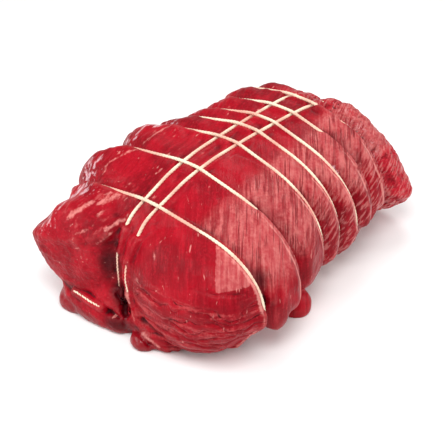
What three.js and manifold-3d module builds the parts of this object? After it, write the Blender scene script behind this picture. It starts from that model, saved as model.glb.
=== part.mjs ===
// A raw round roast of bison, rolled and tied with cotton twine. Millimetres, +Z up.
// +Y runs along the roast, from the cleft front end to the back end, and +X is its right side.
// The meat is one solid. Seven cross ties and two long ties hold it, and one loose end lies in front.
import * as THREE from "three";
import { mergeVertices } from "three/addons/utils/BufferGeometryUtils.js";
import Module from "manifold-3d";

const wasm = await Module();
wasm.setup();

// ---- Driving dimensions ----
const TWINE_RADIUS = 1.25;
const GAP = 0.4; // kept between the twine and whatever it lies on

// The trunk at each cross tie, from the front. y is where the tie crosses the middle of the roast,
// lean how much further back it is at the right side, and height the trunk's height there. For the
// left and the right, half is the half width, shoulder how square the upper corner is (2 being an
// ellipse) and swell how far the meat bulges sideways in the bay behind the tie. lower is how
// square the lower corners are.
const MIDDLE_X = -8;
const MID_HEIGHT = 45;
const STATIONS = [
  { y: -58, lean: -2, height: 81, half: [76, 84], shoulder: [4.4, 2.3], lower: 1.75, swell: [14, 8] },
  { y: -18, lean: 0, height: 91.5, half: [80, 81], shoulder: [3.8, 2], lower: 2.2, swell: [12, 8] },
  { y: 21, lean: 2, height: 92, half: [80, 72], shoulder: [3.6, 2], lower: 2.4, swell: [7, 8] },
  { y: 43, lean: 1, height: 92, half: [76, 70], shoulder: [3, 2], lower: 2.4, swell: [5, 8] },
  { y: 61, lean: 0, height: 91, half: [72, 73], shoulder: [3, 2], lower: 2.4, swell: [4, 8] },
  { y: 82, lean: -1, height: 90, half: [70, 71], shoulder: [3.2, 2.2], lower: 2.3, swell: [6, 6] },
  { y: 106, lean: -2, height: 88, half: [68, 64], shoulder: [3.4, 2.5], lower: 2.1, swell: [0, 0] },
];
const LEAN_WIDTH = 70; // a tie leans by its lean over this much to the right of the middle
const WIDEST_AT = 0.42; // share of the height where a section is widest
const TIED_BOTTOM = 3.4; // height of the meat's underside under a cross tie
const SWELL = { top: 2, bottom: 8 }; // how far the meat bulges up and down in every bay
const SWELL_POWER = 2.3;
const SWELL_SKEW = 1.5; // above 1, a bay is fullest just in front of the next tie
const COLUMNS = 40; // columns round the trunk
const BAY_ROWS = [0, 0.12, 0.4, 0.65, 0.88]; // rows of a bay, as shares of its length

// The trunk's two ends are domes, mostly inside the end lobes.
// A dome's last row is short of its tip by tip of a row.
const DOME = { front: 24, back: 20, rows: 4, tip: 0.4, power: 2.3 };

// Lobes. half is the half sizes, y towards the outer end, and back the half length the other way.
// roll turns the right side down, in degrees, taper narrows the underside by a share, and square is
// how square the lobe is.
// Each pull draws the lobe out towards a direction, and is the more pointed the higher sharp is.
const LOBES = [
  // right front lobe
  { centre: [28, -62, 40], half: [50, 36, 41], back: 24, roll: 8, taper: 0.26 },
  // left front lobe
  {
    centre: [-54, -69, 42],
    half: [31, 26, 38],
    back: 24,
    roll: 7,
    taper: 0.2,
    square: 3,
    pulls: [{ towards: [-0.8, -0.6, 0.1], reach: 12, sharp: 6 }],
  },
  // what lies behind the foot of the cleft
  { centre: [-14, -64, 14], half: [26, 17, 20] },
  // back end
  {
    centre: [0, 119, 41],
    half: [67, 31, 43.5],
    back: 34,
    roll: 5,
    taper: 0.42,
    pulls: [{ towards: [0.85, 0.45, -0.38], reach: 15, sharp: 6 }],
  },
  // hump at the left of the back end
  { centre: [-38, 118, 57], half: [31, 22, 31], back: 18 },
];
const LOBE_FACETS = { sides: 28, rings: 14 };

// Flaps of the under layer and of the left lobe, which no tie goes round.
const FLAPS = [
  { centre: [-38, -81, 8], half: [35, 18, 13], back: 14, square: 3 },
  { centre: [-28, -83, 16], half: [18, 13, 18] },
  { centre: [9, -76, 6], half: [22, 19, 12], back: 12, square: 2.6 },
  { centre: [54, -1, 7], half: [17, 13, 11] },
];
const FLAP_FACETS = { sides: 14, rings: 8 };

// The channel that the long ties run in along the underside, and the slot of the same width that
// they come down in behind the front flaps.
const CHANNEL = { from: -32, to: 2, height: 6.4 };
const SLOT = { front: -91, top: 45 };
const TIE_NOTCH = 4.5; // half width of the notch in the underside that a cross tie runs in

// Each long tie lies in an upright plane. x is where it crosses y = 0, and lean how much further
// to the right it is per millimetre further back.
const LONG_TIES = [
  { name: "long_tie_left", x: -22.5, lean: 0 },
  { name: "long_tie_right", x: -7, lean: 0.05 },
];

// The loose end lies in the crease between the left lobe and the flap under it. It runs between
// two points and lies against the meat, as seen from a direction, lift further out than the gap.
const LOOSE_END = {
  start: [-54.5, -90.5, 15],
  end: [-27.5, -93.5, 15],
  seenFrom: [0.1, -0.75, 0.65],
  lift: 0.5,
  spans: 8,
};

const TWINE_SIDES = 5;
const IN_LINE = 0.15; // a corner of a tie nearer than this to the line past it is left out
const BEYOND = 300; // further than any part of the roast

const MEAT = { color: 0xa81c2c, roughness: 0.4, metalness: 0 };
const TWINE = { color: 0xf3dfc0, roughness: 0.9, metalness: 0 };

// ---- Helpers ----
const { lerp } = THREE.MathUtils;
const power = (v, p) => Math.sign(v) * Math.abs(v) ** p;

function toSolid(geometry) {
  const bare = geometry.clone();
  bare.deleteAttribute("normal");
  bare.deleteAttribute("uv");
  const merged = mergeVertices(bare, 1e-3);
  return new wasm.Manifold(
    new wasm.Mesh({
      numProp: 3,
      vertProperties: merged.attributes.position.array,
      triVerts: new Uint32Array(merged.index.array),
    }),
  );
}

function toGeometry(solid) {
  const mesh = solid.getMesh();
  const geometry = new THREE.BufferGeometry();
  geometry.setAttribute("position", new THREE.BufferAttribute(mesh.vertProperties, 3));
  geometry.setIndex(new THREE.BufferAttribute(mesh.triVerts, 1));
  geometry.computeVertexNormals();
  return geometry;
}

function piece(name, geometry, look) {
  const mesh = new THREE.Mesh(geometry, new THREE.MeshStandardMaterial(look));
  mesh.name = name;
  return mesh;
}

// ---- The trunk ----
const LAST = STATIONS.length - 1;

// What pick takes from the stations, at s along a smooth curve through them all.
function curveOf(pick) {
  const curve = new THREE.SplineCurve(STATIONS.map((row, i) => new THREE.Vector2(i, pick(row))));
  return (s) => curve.getPoint(s / LAST).y;
}
const heightAt = curveOf((station) => station.height);
const lowerAt = curveOf((station) => station.lower);
const halfAt = [0, 1].map((side) => curveOf((station) => station.half[side]));
const shoulderAt = [0, 1].map((side) => curveOf((station) => station.shoulder[side]));

// A point of the trunk at the angle phi round its section, at the share f of the bay after
// station i. size is the section's share of its full size, and shift moves it along the roast.
function trunkPoint({ i, f, size, shift }, phi) {
  const s = i + f;
  const c = Math.cos(phi);
  const v = Math.sin(phi);
  const side = c > 0 ? 1 : 0;
  const height = heightAt(s);
  const middleZ = height * WIDEST_AT;
  const rise = v > 0 ? height - middleZ : middleZ - TIED_BOTTOM;
  const square = v > 0 ? shoulderAt[side](s) : lowerAt(s);
  const x = size * halfAt[side](s) * power(c, 2 / square);
  const z = size * rise * power(v, 2 / square);
  const before = STATIONS[i];
  const after = STATIONS[Math.min(i + 1, LAST)];
  const swell = lerp(before.swell[side], v > 0 ? SWELL.top : SWELL.bottom, v ** 4);
  const fullness = 1 - Math.abs(2 * f ** SWELL_SKEW - 1) ** SWELL_POWER;
  const grow = 1 + (swell * fullness) / Math.hypot(x, z);
  const across = (x * grow) / LEAN_WIDTH;
  const y = lerp(before.y + before.lean * across, after.y + after.lean * across, f);
  return new THREE.Vector3(MIDDLE_X + x * grow, y + shift, middleZ + z * grow);
}

// Row k of the dome at station i.
function domeRow(k, i, depth) {
  const t = k / (DOME.rows + DOME.tip);
  const size = (1 - t ** DOME.power) ** (1 / DOME.power);
  return { i, f: 0, size, shift: depth * t };
}

function trunkRows() {
  const rows = [];
  for (let k = DOME.rows; k > 0; k -= 1) rows.push(domeRow(k, 0, -DOME.front));
  for (let i = 0; i < LAST; i += 1)
    for (const f of BAY_ROWS) rows.push({ i, f, size: 1, shift: 0 });
  for (let k = 0; k <= DOME.rows; k += 1) rows.push(domeRow(k, LAST, DOME.back));
  return rows;
}

function trunkGeometry() {
  const rows = trunkRows();
  // A closed cylinder, each ring of which is moved to its row.
  const geometry = new THREE.CylinderGeometry(1, 1, 1, COLUMNS, rows.length - 1);
  const position = geometry.attributes.position;
  for (let k = 0; k < position.count; k += 1) {
    const row = rows[Math.round((0.5 + position.getY(k)) * (rows.length - 1))];
    const phi = Math.atan2(position.getZ(k), position.getX(k));
    const point = trunkPoint(row, phi);
    const onAxis = Math.hypot(position.getX(k), position.getZ(k)) < 0.5;
    if (onAxis) point.set(MIDDLE_X, point.y, heightAt(row.i) * WIDEST_AT);
    position.setXYZ(k, point.x, point.y, point.z);
  }
  return geometry;
}

// ---- Lobes ----
function lobeGeometry(lobe, facets) {
  const { centre, half, back = half[1], roll = 0, taper = 0, square = 2.3, pulls = [] } = lobe;
  const outward = Math.sign(centre[1]);
  const geometry = new THREE.SphereGeometry(1, facets.sides, facets.rings);
  geometry.rotateX(Math.PI / 2);
  const position = geometry.attributes.position;
  const lengthways = new THREE.Vector3(0, 1, 0);
  for (let k = 0; k < position.count; k += 1) {
    const way = new THREE.Vector3().fromBufferAttribute(position, k).normalize();
    const sum = way.toArray().reduce((total, share) => total + Math.abs(share) ** square, 0);
    const depth = way.y * outward > 0 ? half[1] : back;
    const point = new THREE.Vector3(half[0], depth, half[2]);
    point.multiply(way).multiplyScalar(sum ** (-1 / square));
    point.x *= 1 + taper * Math.min(0, point.z / half[2]);
    point.applyAxisAngle(lengthways, THREE.MathUtils.degToRad(roll));
    for (const { towards, reach, sharp } of pulls) {
      const pull = new THREE.Vector3(...towards).normalize();
      point.addScaledVector(pull, reach * Math.max(0, way.dot(pull)) ** sharp);
    }
    position.setXYZ(k, centre[0] + point.x, centre[1] + point.y, centre[2] + point.z);
  }
  return geometry;
}

// ---- The meat ----
function block(x, y, z) {
  const [width, depth, height] = [x, y, z].map(([from, to]) => to - from);
  const geometry = new THREE.BoxGeometry(width, depth, height);
  return toSolid(geometry.translate(...[x, y, z].map(([from, to]) => (from + to) / 2)));
}

const everywhere = [-BEYOND, BEYOND];
const channelWidth = [CHANNEL.from, CHANNEL.to];
const underFloor = block(everywhere, everywhere, [-BEYOND, 0]);

// The bundle is the meat without its flaps, and is what the ties are drawn round.
const lobes = LOBES.map((lobe) => toSolid(lobeGeometry(lobe, LOBE_FACETS)));
const clearances = [
  underFloor,
  block(channelWidth, everywhere, [-1, CHANNEL.height]),
  ...STATIONS.map(({ y }) => block(everywhere, [y - TIE_NOTCH, y + TIE_NOTCH], [-1, TIED_BOTTOM])),
];
const bundleSolid = clearances.reduce(
  (solid, clearance) => solid.subtract(clearance),
  lobes.reduce((solid, lobe) => solid.add(lobe), toSolid(trunkGeometry())),
);

const flaps = FLAPS.map((flap) => toSolid(lobeGeometry(flap, FLAP_FACETS)));
const meatSolid = flaps
  .reduce((solid, flap) => solid.add(flap))
  .subtract(underFloor)
  .subtract(block(channelWidth, [SLOT.front, BEYOND], [-1, SLOT.top]))
  .add(bundleSolid);

// ---- Ties ----
// A taut tie runs round what lies inside it: the meat, and the ties that it crosses over. Its path
// is the convex outline of the slice there, moved out by the twine's radius and the gap.

// Where the edges of the meshes cross the plane that lies shift along the normal from the origin,
// as points in the plane.
function slice(meshes, origin, across, normal, shift) {
  const points = [];
  for (const mesh of meshes) {
    const { index } = mesh.geometry;
    const { position } = mesh.geometry.attributes;
    const corners = Array.from({ length: position.count }, (_, k) =>
      new THREE.Vector3().fromBufferAttribute(position, k).sub(origin),
    );
    const level = corners.map((corner) => corner.dot(normal) - shift);
    for (let k = 0; k < index.count; k += 1) {
      const a = index.getX(k);
      const b = index.getX(k % 3 === 2 ? k - 2 : k + 1);
      if (level[a] * level[b] >= 0) continue;
      const crossing = corners[a].clone().lerp(corners[b], level[a] / (level[a] - level[b]));
      points.push(new THREE.Vector2(crossing.dot(across), crossing.z));
    }
  }
  return points;
}

function convexOutline(points) {
  const sorted = [...points].sort((a, b) => a.x - b.x || a.y - b.y);
  const half = (list) => {
    const chain = [];
    for (const p of list) {
      while (chain.length > 1) {
        const [a, b] = chain.slice(-2);
        if ((b.x - a.x) * (p.y - a.y) - (b.y - a.y) * (p.x - a.x) > 0) break;
        chain.pop();
      }
      chain.push(p);
    }
    return chain.slice(0, -1);
  };
  return [...half(sorted), ...half(sorted.reverse())];
}

// The outward direction of the outline from one of its corners to another.
const outwardOf = (from, to) => new THREE.Vector2(to.y - from.y, from.x - to.x).normalize();

// The outline moved out by a distance, with its sharper corners rounded.
function movedOut(outline, distance) {
  return outline.flatMap((corner, k) => {
    const before = outwardOf(outline.at(k - 1), corner);
    const after = outwardOf(corner, outline[(k + 1) % outline.length]);
    const between = before.clone().add(after).normalize();
    return [before, between, after].map((way) => corner.clone().addScaledVector(way, distance));
  });
}

// The outline without the corners that lie almost in line with their neighbours.
function simpler(outline) {
  const kept = [...outline];
  const height = (k) => {
    const [a, p, b] = [-1, 0, 1].map((step) => kept.at((k + step) % kept.length));
    const base = b.clone().sub(a);
    return Math.abs(base.cross(p.clone().sub(a))) / base.length();
  };
  for (;;) {
    const heights = kept.map((_, k) => height(k));
    const least = Math.min(...heights);
    if (least > IN_LINE) return kept;
    kept.splice(heights.indexOf(least), 1);
  }
}

// A closed tube along a flat outline, whose plane goes through origin with across as its x axis.
function tautTie(name, meshes, origin, across) {
  const upward = new THREE.Vector3(0, 0, 1);
  const normal = new THREE.Vector3().crossVectors(across, upward);
  const inSpace = ({ x, y }) => across.clone().multiplyScalar(x).addScaledVector(upward, y);
  const points = [-TWINE_RADIUS, 0, TWINE_RADIUS].flatMap((shift) =>
    slice(meshes, origin, across, normal, shift),
  );
  const outline = simpler(movedOut(convexOutline(points), TWINE_RADIUS + GAP));
  const count = outline.length;
  // A torus, each ring of which is moved to its corner of the outline.
  const geometry = new THREE.TorusGeometry(1, 0.5, TWINE_SIDES, count);
  const position = geometry.attributes.position;
  for (let k = 0; k < position.count; k += 1) {
    const corner = Math.round(geometry.attributes.uv.getX(k) * count) % count;
    const turn = 2 * Math.PI * geometry.attributes.uv.getY(k);
    const before = outline.at(corner - 1);
    const after = outline[(corner + 1) % count];
    const outward = outwardOf(before, after);
    const point = inSpace(outline[corner]).add(origin);
    point.addScaledVector(inSpace(outward), TWINE_RADIUS * Math.cos(turn));
    point.addScaledVector(normal, TWINE_RADIUS * Math.sin(turn));
    position.setXYZ(k, point.x, point.y, point.z);
  }
  geometry.computeVertexNormals();
  return piece(name, geometry, TWINE);
}

// ---- The loose end ----
// How far from a point along a direction the mesh reaches.
function outermost(mesh, origin, direction) {
  const outside = origin.clone().addScaledVector(direction, BEYOND);
  const ray = new THREE.Raycaster(outside, direction.clone().negate());
  return BEYOND - ray.intersectObject(mesh)[0].distance;
}

function looseEndGeometry(meat) {
  const outward = new THREE.Vector3(...LOOSE_END.seenFrom).normalize();
  const start = new THREE.Vector3(...LOOSE_END.start);
  const end = new THREE.Vector3(...LOOSE_END.end);
  const clear = TWINE_RADIUS + GAP + LOOSE_END.lift;
  const points = Array.from({ length: LOOSE_END.spans + 1 }, (_, k) => {
    const point = start.clone().lerp(end, k / LOOSE_END.spans);
    return point.addScaledVector(outward, outermost(meat, point, outward) + clear);
  });
  const round = new THREE.Shape().absarc(0, 0, TWINE_RADIUS, 0, 2 * Math.PI);
  const curve = new THREE.CatmullRomCurve3(points, false, "centripetal");
  return new THREE.ExtrudeGeometry(round, { steps: 10, curveSegments: 6, extrudePath: curve });
}

// ---- The roast ----
const roast = new THREE.Group();
const meat = piece("meat", toGeometry(meatSolid), MEAT);
const bundle = piece("bundle", toGeometry(bundleSolid), MEAT);
roast.add(meat);

const longTies = LONG_TIES.map(({ name, x, lean }) => {
  const across = new THREE.Vector3(lean, 1, 0).normalize();
  return tautTie(name, [bundle], new THREE.Vector3(x, 0, MID_HEIGHT), across);
});
roast.add(...longTies);

STATIONS.forEach(({ y, lean }, i) => {
  const across = new THREE.Vector3(LEAN_WIDTH, lean, 0).normalize();
  const origin = new THREE.Vector3(MIDDLE_X, y, MID_HEIGHT);
  roast.add(tautTie("cross_tie_" + (i + 1), [bundle, ...longTies], origin, across));
});
roast.add(piece("loose_end", looseEndGeometry(meat), TWINE));

// The middle of the roast's outline goes to the origin.
const middle = new THREE.Box3().setFromObject(roast).getCenter(new THREE.Vector3());
roast.position.set(-middle.x, -middle.y, 0);

export default roast;
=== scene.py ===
"""The looks of a raw round roast of bison, rolled and tied with cotton twine.

Everything is in metres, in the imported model's frame: +Y runs along the roast from its cleft front
end to its back end, +X is its right side and it lies on z = 0.
"""

import math

import bmesh
import bpy
import numpy as np
from mathutils import Matrix, Vector, noise
from mathutils.bvhtree import BVHTree


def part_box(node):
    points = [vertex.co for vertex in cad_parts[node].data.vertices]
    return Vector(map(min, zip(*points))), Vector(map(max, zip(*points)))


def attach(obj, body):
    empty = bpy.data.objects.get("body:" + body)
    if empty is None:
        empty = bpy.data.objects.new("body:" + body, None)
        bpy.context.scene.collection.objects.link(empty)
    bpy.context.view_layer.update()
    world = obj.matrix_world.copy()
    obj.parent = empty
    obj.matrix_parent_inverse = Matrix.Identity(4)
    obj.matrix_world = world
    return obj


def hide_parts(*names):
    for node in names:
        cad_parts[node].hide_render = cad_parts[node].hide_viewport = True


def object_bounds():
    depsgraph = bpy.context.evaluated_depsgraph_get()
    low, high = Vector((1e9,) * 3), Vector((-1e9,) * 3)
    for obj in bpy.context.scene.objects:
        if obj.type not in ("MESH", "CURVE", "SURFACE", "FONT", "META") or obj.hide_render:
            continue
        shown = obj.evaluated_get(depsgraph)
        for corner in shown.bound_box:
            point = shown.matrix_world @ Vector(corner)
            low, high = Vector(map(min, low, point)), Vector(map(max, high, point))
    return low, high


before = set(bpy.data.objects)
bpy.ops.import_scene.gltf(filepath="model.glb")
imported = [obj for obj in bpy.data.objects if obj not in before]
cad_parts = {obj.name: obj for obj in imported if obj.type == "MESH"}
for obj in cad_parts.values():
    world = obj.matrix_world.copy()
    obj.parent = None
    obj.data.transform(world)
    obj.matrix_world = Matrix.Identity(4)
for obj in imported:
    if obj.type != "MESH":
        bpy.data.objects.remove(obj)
cad_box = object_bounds()
scene = bpy.context.scene

MM = 0.001
SAME_PLACE = 1e-6  # vertices closer than this are one
CROSS_TIES = ["cross_tie_%d" % (k + 1) for k in range(7)]
LONG_TIES = ["long_tie_left", "long_tie_right"]


# ---- Camera and light ----
VIEW_AZIMUTH = math.radians(38)
VIEW_ELEVATION = math.radians(35)
VIEW_DISTANCE = 0.86
VIEW_AIM = Vector((0.009, -0.027, -0.005))  # from the middle of the roast
VIEW_LENS, SENSOR_WIDTH = 100, 36  # in millimetres
MIDDLE = (cad_box[0] + cad_box[1]) / 2
SKY_COLOUR = (1.0, 0.99, 0.98, 1)
SKY_STRENGTH = 0.48
# A name, azimuth and elevation in degrees, distance, side of its square and power in watts.
LAMPS = [
    ("key", 40, 60, 0.8, 0.4, 3.9),
    ("fill", -50, 34, 0.9, 0.6, 3.4),
    ("side", 105, 25, 0.9, 0.5, 2.5),
    ("back", -160, 55, 0.9, 0.4, 2.4),
    ("low", -12, 14, 0.9, 0.6, 1.7),
]


def link(name, data):
    made = bpy.data.objects.new(name, data)
    scene.collection.objects.link(made)
    return made


def facing(azimuth, elevation):
    """The direction from the roast towards a place round it, azimuth 0 being straight in front."""
    flat = math.cos(elevation)
    return Vector((math.sin(azimuth) * flat, -math.cos(azimuth) * flat, math.sin(elevation)))


def look_at(thing, target):
    thing.rotation_euler = (target - thing.location).to_track_quat("-Z", "Y").to_euler()


def add_camera():
    data = bpy.data.cameras.new("camera")
    data.lens = VIEW_LENS
    data.sensor_width = SENSOR_WIDTH
    camera = link("camera", data)
    target = MIDDLE + VIEW_AIM
    camera.location = target + facing(VIEW_AZIMUTH, VIEW_ELEVATION) * VIEW_DISTANCE
    look_at(camera, target)
    scene.camera = camera


def add_lamps():
    for name, azimuth, elevation, distance, side, power in LAMPS:
        data = bpy.data.lights.new(name, "AREA")
        data.size = side
        data.energy = power
        lamp = link(name, data)
        towards = facing(math.radians(azimuth), math.radians(elevation))
        lamp.location = MIDDLE + towards * distance
        look_at(lamp, MIDDLE)
    world = bpy.data.worlds.new("studio")
    world.use_nodes = True
    sky = world.node_tree.nodes["Background"]
    sky.inputs["Color"].default_value = SKY_COLOUR
    sky.inputs["Strength"].default_value = SKY_STRENGTH
    scene.world = world
    scene.view_settings.view_transform = "Standard"
    scene.view_settings.look = "None"


# ---- Shader expressions ----
class Value:
    """What varies over a surface. Sums and products of numbers that vary add Math nodes."""

    def __init__(self, look, socket):
        self.look = look
        self.socket = socket

    def _math(self, operation, *others):
        made = self.look.node("ShaderNodeMath", {"operation": operation}, self, *others)
        return Value(self.look, made.outputs[0])

    def __add__(self, other):
        return self._math("ADD", other)

    def __sub__(self, other):
        return self._math("SUBTRACT", other)

    def __mul__(self, other):
        return self._math("MULTIPLY", other)

    def __rsub__(self, other):
        made = self.look.node("ShaderNodeMath", {"operation": "SUBTRACT"}, other, self)
        return Value(self.look, made.outputs[0])

    __radd__ = __add__
    __rmul__ = __mul__

    def __abs__(self):
        return self._math("ABSOLUTE")

    def least(self, other):
        return self._math("MINIMUM", other)

    def most(self, other):
        return self._math("MAXIMUM", other)

    def step(self, low, high):
        """0 below low and 1 above high, smooth between. low may be the higher one."""
        settings = {"interpolation_type": "SMOOTHSTEP"}
        made = self.look.node("ShaderNodeMapRange", settings, self, low, high)
        return Value(self.look, made.outputs[0])


class Look:
    """A material, and the one way that its nodes are added."""

    def __init__(self, name):
        self.material = bpy.data.materials.new(name)
        self.material.use_nodes = True
        self.tree = self.material.node_tree
        self.shader = self.tree.nodes["Principled BSDF"]
        self.place = Value(self, self.node("ShaderNodeTexCoord").outputs["Object"])

    def feed(self, socket, value):
        """Links a Value to the socket. Anything else is set on it."""
        if isinstance(value, Value):
            self.tree.links.new(value.socket, socket)
        else:
            socket.default_value = value

    def node(self, kind, settings=None, *values, **named):
        """A node. settings are set first, then its inputs in order, then those with a name."""
        made = self.tree.nodes.new(kind)
        for key, setting in (settings or {}).items():
            setattr(made, key, setting)
        for key, value in [*enumerate(values), *named.items()]:
            self.feed(made.inputs[key], value)
        return made

    def attribute(self, name, output="Fac"):
        made = self.node("ShaderNodeAttribute", {"attribute_name": name})
        return Value(self, made.outputs[output])

    def stretched(self, place, scale):
        """The place, scaled by one number for each axis."""
        return Value(self, self.node("ShaderNodeMapping", {}, Vector=place, Scale=scale).outputs[0])

    def turned(self, place, axis, angle):
        """The place turned about an axis, "X", "Y" or "Z", by degrees."""
        named = {"Vector": place, "Angle": math.radians(angle)}
        made = self.node("ShaderNodeVectorRotate", {"rotation_type": axis + "_AXIS"}, **named)
        return Value(self, made.outputs[0])

    def noise(self, place, scale, detail, roughness=0.5):
        named = {"Vector": place, "Scale": scale, "Detail": detail, "Roughness": roughness}
        return Value(self, self.node("ShaderNodeTexNoise", {}, **named).outputs["Fac"])

    def mix(self, factor, one, other):
        """Colour one where factor is 0 and the other where it is 1."""
        made = self.node("ShaderNodeMix", {"data_type": "RGBA"})
        for k, value in zip((0, 6, 7), (factor, one, other)):  # its sockets for colours
            self.feed(made.inputs[k], value)
        return Value(self, made.outputs[2])

    def bump(self, height, distance, strength, **under):
        """A normal turned by a height. Normal=another is the one that it is laid over."""
        named = {"Height": height, "Distance": distance, "Strength": strength, **under}
        return Value(self, self.node("ShaderNodeBump", {}, **named).outputs[0])

    def set(self, **values):
        """Sets inputs of the shader. An underscore in a name stands for a space."""
        for key, value in values.items():
            self.feed(self.shader.inputs[key.replace("_", " ")], value)


def rgb(red, green, blue):
    """A colour from its red, green and blue as a display shows them, out of 255."""
    shares = [channel / 255 for channel in (red, green, blue)]
    return (*[(s / 12.92 if s < 0.04045 else ((s + 0.055) / 1.055) ** 2.4) for s in shares], 1)


def between(share, one, other):
    """The colour that is a share of the way from one to the other."""
    return tuple(a * (1 - share) + b * share for a, b in zip(one, other))


# ---- Shapes that the meat and the ties share ----
def stepped(value, low, high):
    """0 below low and 1 above high, smooth between. low may be the higher one."""
    share = np.clip((value - low) / (high - low), 0, 1)
    return share * share * (3 - 2 * share)


def window(value, start, full, fading, end):
    """0 outside start and end, 1 from full to fading, and smooth between."""
    return stepped(value, start, full) * stepped(value, end, fading)


def bell(value, middle, reach):
    """1 at the middle, and less the further a value is from it, as a bell's outline."""
    return np.exp(-(((value - middle) / reach) ** 2))


def applied(piece):
    """A mesh of the piece with its modifiers, or its curve's section, applied."""
    shaped = piece.evaluated_get(bpy.context.evaluated_depsgraph_get())
    return bpy.data.meshes.new_from_object(shaped)


def cleaned(mesh):
    """Merges the mesh's doubles, points its faces outwards and shades it smooth."""
    shape = bmesh.new()
    shape.from_mesh(mesh)
    bmesh.ops.remove_doubles(shape, verts=shape.verts, dist=SAME_PLACE)
    bmesh.ops.recalc_face_normals(shape, faces=shape.faces)
    for face in shape.faces:
        face.smooth = True
    shape.to_mesh(mesh)
    shape.free()


# Places that are drawn out: a middle, a reach and a move, in millimetres.
GRABS = [
    ((-70, -100, 78), 26, (0, 0, -3)),
    ((-84, -112, 56), 18, (-2, -1, -5)),
    ((-80, -66, 68), 22, (-3, 0, 0)),
    ((-80, -30, 72), 22, (3, 0, 0)),
    ((84, 100, 28), 20, (3, 2, 0)),
    ((-8, 104, 88), 22, (0, 0, -4)),
    ((30, 103, 80), 24, (1, 1, 4)),
    ((21, 106, 86), 14, (0, 0, 3)),
    ((84, -92, 16), 24, (-5, 0, 2)),
    ((88, -70, 26), 17, (2, 0, -7)),
    ((76, 47, 22), 16, (-5, 0, 4)),
    ((-76, -116, 67), 13, (1, 2, -5)),
    ((-62, 6, 88), 16, (0, 0, -3)),
]


def drawn_out(places):
    """Where the places are once the drawn-out meat has taken them along."""
    for middle, reach, move in GRABS:
        away = np.linalg.norm(places - np.array(middle) * MM, axis=1)
        places = places + np.outer(stepped(away, reach * MM, 0), np.array(move) * MM)
    return places


# ---- Twine ----
TWINE_RADIUS = 1.25 * MM
PLIES = 3
TWIST_LENGTH = 8 * MM  # of a ply's whole turn
STRAND_SIDES = 18
STRAND_WAIST = 0.78  # the radius between two plies, as a share of the greatest
PLY_FULLNESS = 0.7  # under 1, the plies' backs are broader than the creases between them
WEAR = 0.08  # how much the radius varies, as a share
WEAR_LENGTH = 6 * MM
ROUTE_SPOKES = 720  # directions from a tie's centre in which its route is looked for
ROUTE_STEP = 1.0 * MM
ROUTE_SOFTNESS = 2.5 * MM
LOOSE_END_CUTS = 9  # places along the loose end that its route is drawn through


def spaced(points, spacing):
    """Points of the line through points, at the distances that spacing makes of its length."""
    lengths = np.linalg.norm(np.diff(points, axis=0), axis=1)
    travelled = np.concatenate([[0], np.cumsum(lengths)])
    wanted = spacing(travelled[-1])
    return np.stack([np.interp(wanted, travelled, points[:, k]) for k in range(3)], axis=1)


def evenly(length):
    """Distances along a closed ring, about a step apart and as far apart at its seam."""
    count = round(length / ROUTE_STEP)
    return np.arange(count) * length / count


def softened(ring):
    """The ring smoothed by bell-shaped weights."""
    half = int(3 * ROUTE_SOFTNESS / ROUTE_STEP)
    offsets = np.arange(-half, half + 1)
    weights = np.exp(-0.5 * (offsets * ROUTE_STEP / ROUTE_SOFTNESS) ** 2)
    weights /= weights.sum()
    return sum(w * np.roll(ring, -k, axis=0) for k, w in zip(offsets, weights))


class Tie:
    """A closed tie: its route, and the upright plane that it lies in."""

    def __init__(self, node):
        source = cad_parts[node].data
        corners = [v.co.copy() for v in source.vertices]
        tree = BVHTree.FromPolygons(corners, [p.vertices[:] for p in source.polygons])
        low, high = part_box(node)
        centre = (low + high) / 2
        spread = np.array(corners) - np.array(centre)
        across = Vector(np.linalg.svd(spread[:, :2], full_matrices=False)[2][0].tolist() + [0])
        across *= math.copysign(1, across.x + across.y)
        across.normalize()
        points = []
        for k in range(ROUTE_SPOKES):
            turn = 2 * math.pi * k / ROUTE_SPOKES
            way = across * math.cos(turn) + Vector((0, 0, math.sin(turn)))
            outer = tree.ray_cast(centre + way, -way)[0]
            inner = tree.ray_cast(centre, way)[0]
            points.append((outer + inner) / 2)
        self.centre = np.array(centre)
        self.across = np.array(across)
        self.normal = np.array((-across.y, across.x, 0))
        self.taut = softened(spaced(np.array(points + points[:1]), evenly))
        shift = drawn_out(self.taut) - self.taut
        self.points = self.taut + shift - np.outer(shift @ self.normal, self.normal)

    def measure(self, places):
        """For each place, its offset from the tie's plane along the normal, and how far the
        tie's middle line lies outside it in its own direction from the tie's centre."""
        away = places - self.centre
        along = away @ self.across
        angle = np.arctan2(away[:, 2], along)
        own = self.points - self.centre
        own_along = own @ self.across
        own_angle = np.arctan2(own[:, 2], own_along)
        own_reach = np.hypot(own_along, own[:, 2])
        reach = np.interp(angle, own_angle, own_reach, period=2 * math.pi)
        return away @ self.normal, reach - np.hypot(along, away[:, 2])


ties = {name: Tie(name) for name in CROSS_TIES + LONG_TIES}


def loose_end_route():
    """The middle line of the loose end, which runs mostly along X."""
    corners = np.array([v.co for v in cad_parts["loose_end"].data.vertices])
    ordered = corners[np.argsort(corners[:, 0])]
    middles = np.array([part.mean(0) for part in np.array_split(ordered, LOOSE_END_CUTS)])
    return spaced(middles, lambda length: np.arange(0, length, ROUTE_STEP))


def strand_section():
    """The outline of three plies side by side, as a closed curve."""
    data = bpy.data.curves.new("twine_section", "CURVE")
    spline = data.splines.new("POLY")
    spline.points.add(STRAND_SIDES - 1)
    for k, point in enumerate(spline.points):
        turn = 2 * math.pi * k / STRAND_SIDES
        bulge = abs(math.cos(PLIES / 2 * turn)) ** PLY_FULLNESS
        reach = TWINE_RADIUS * (STRAND_WAIST + (1 - STRAND_WAIST) * bulge)
        point.co = (reach * math.cos(turn), reach * math.sin(turn), 0, 1)
    spline.use_cyclic_u = True
    return link("twine_section", data)


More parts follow.
